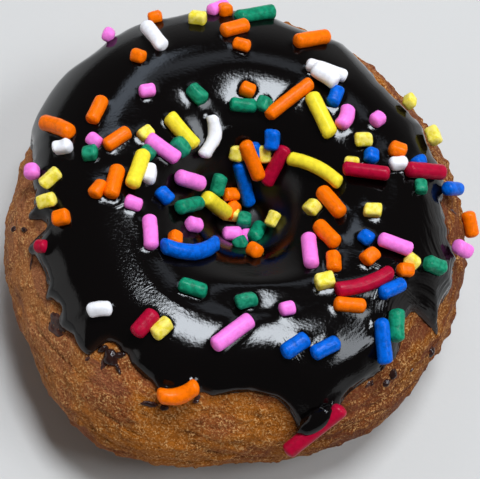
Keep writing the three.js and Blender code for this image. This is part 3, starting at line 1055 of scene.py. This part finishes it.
def add_softbox(settings, name, towards, wide, tall, radiance, tint, turn):
    """A light far off, those degrees wide along X and tall along Y, then turned in its plane."""
    direction = direction_of(towards)
    across = Vector((0, 1, 0)).cross(direction).normalized()
    facing = Matrix((across, direction.cross(across), direction)).transposed()
    distance = settings.light_distance
    light = bpy.data.lights.new(name, "AREA")
    light.color = linear(tint)
    light.shape = "RECTANGLE"
    light.size = 2 * distance * math.tan(math.radians(wide / 2))
    light.size_y = 2 * distance * math.tan(math.radians(tall / 2))
    light.energy = radiance * math.pi * light.size * light.size_y
    lamp = bpy.data.objects.new(name, light)
    lamp.location = Vector((0, 0, settings.aim_height)) + direction * distance
    own_turn = Matrix.Rotation(math.radians(turn), 3, "Z")
    lamp.rotation_euler = (facing @ own_turn).to_euler()
    bpy.context.scene.collection.objects.link(lamp)


def glow(tree, view, towards, core, reach, radiance):
    """A soft round glow in the world, full within core degrees and gone at reach."""
    dot = add_node(
        tree, "ShaderNodeVectorMath", {0: view, 1: direction_of(towards)}, operation="DOT_PRODUCT"
    ).outputs["Value"]
    return spread(tree, dot, cosine(reach), cosine(core), 0.0, radiance)


def dim_room(settings):
    """A dim room with pale walls to the left, the right and the back."""
    world = bpy.data.worlds.new("dim_room")
    world.use_nodes = True
    tree = world.node_tree
    view = add_node(tree, "ShaderNodeTexCoord").outputs["Generated"]
    light = settings.ceiling
    for name, towards, core, reach in WALLS:
        light = plus(tree, glow(tree, view, towards, core, reach, getattr(settings, name)), light)
    background = tree.nodes["Background"]
    background.inputs["Color"].default_value = (1, 1, 1, 1)
    tree.links.new(light, background.inputs["Strength"])
    return world


class DOUGHNUT_OT_stage(bpy.types.Operator):
    """Makes the floor, the lights and the camera"""

    bl_idname = "doughnut.stage"
    bl_label = "Stage"

    def execute(self, context):
        scene = context.scene
        settings = scene.doughnut_stage
        bm = bmesh.new()
        bmesh.ops.create_grid(bm, x_segments=2, y_segments=2, size=FLOOR_HALF)
        mesh = bpy.data.meshes.new("floor")
        bm.to_mesh(mesh)
        bm.free()
        mesh.materials.append(matt_floor(settings))
        floor = bpy.data.objects.new("floor", mesh)
        scene.collection.objects.link(floor)

        for softbox in SOFTBOXES:
            add_softbox(settings, *softbox)
        scene.world = dim_room(settings)
        scene.view_settings.view_transform = "Standard"

        towards = Vector((0, math.sin(settings.tilt), -math.cos(settings.tilt)))
        level_up = Vector((0, math.cos(settings.tilt), math.sin(settings.tilt)))
        right = Vector((1, 0, 0)) * math.cos(settings.roll) + level_up * math.sin(settings.roll)
        up = right.cross(towards)
        aim = HOLE_AXIS * MM + Vector((0, 0, settings.aim_height))
        aim += right * settings.aim_right - up * settings.aim_down
        lens = bpy.data.cameras.new("camera")
        lens.lens = settings.lens
        lens.clip_start = 0.01
        camera = bpy.data.objects.new("camera", lens)
        place = Matrix((right, up, -towards)).transposed().to_4x4()
        place.translation = aim - towards * settings.distance
        camera.matrix_world = place
        scene.collection.objects.link(camera)
        scene.camera = camera
        return {"FINISHED"}


class DOUGHNUT_PT_panel(bpy.types.Panel):
    """Lists the sizes, colours and pieces of the doughnut"""

    bl_idname = "DOUGHNUT_PT_panel"
    bl_label = "Doughnut"
    bl_space_type = "VIEW_3D"
    bl_region_type = "UI"
    bl_category = "Doughnut"

    def draw(self, context):
        for group in SETTINGS:
            settings = getattr(context.scene, group)
            box = self.layout.box()
            for name in settings.bl_rna.properties.keys():
                if name not in ("rna_type", "name"):
                    box.prop(settings, name)
        for operator in OPERATORS:
            self.layout.operator(operator.bl_idname)


SETTINGS = {
    "doughnut_dough": DoughSettings,
    "doughnut_icing": IcingSettings,
    "doughnut_strands": StrandSettings,
    "doughnut_stage": StageSettings,
}
OPERATORS = [
    DOUGHNUT_OT_dough,
    DOUGHNUT_OT_icing,
    DOUGHNUT_OT_smears,
    DOUGHNUT_OT_strands,
    DOUGHNUT_OT_stage,
]


def register():
    for item in [*SETTINGS.values(), *OPERATORS, DOUGHNUT_PT_panel]:
        bpy.utils.register_class(item)
    for name, group in SETTINGS.items():
        setattr(bpy.types.Scene, name, PointerProperty(type=group))


def unregister():
    for name in SETTINGS:
        delattr(bpy.types.Scene, name)
    for item in [DOUGHNUT_PT_panel, *reversed(OPERATORS), *reversed(SETTINGS.values())]:
        bpy.utils.unregister_class(item)


def main():
    register()
    bpy.ops.doughnut.dough()
    bpy.ops.doughnut.icing()
    bpy.ops.doughnut.smears()
    bpy.ops.doughnut.strands()
    bpy.ops.doughnut.stage()


if __name__ == "__main__":
    main()
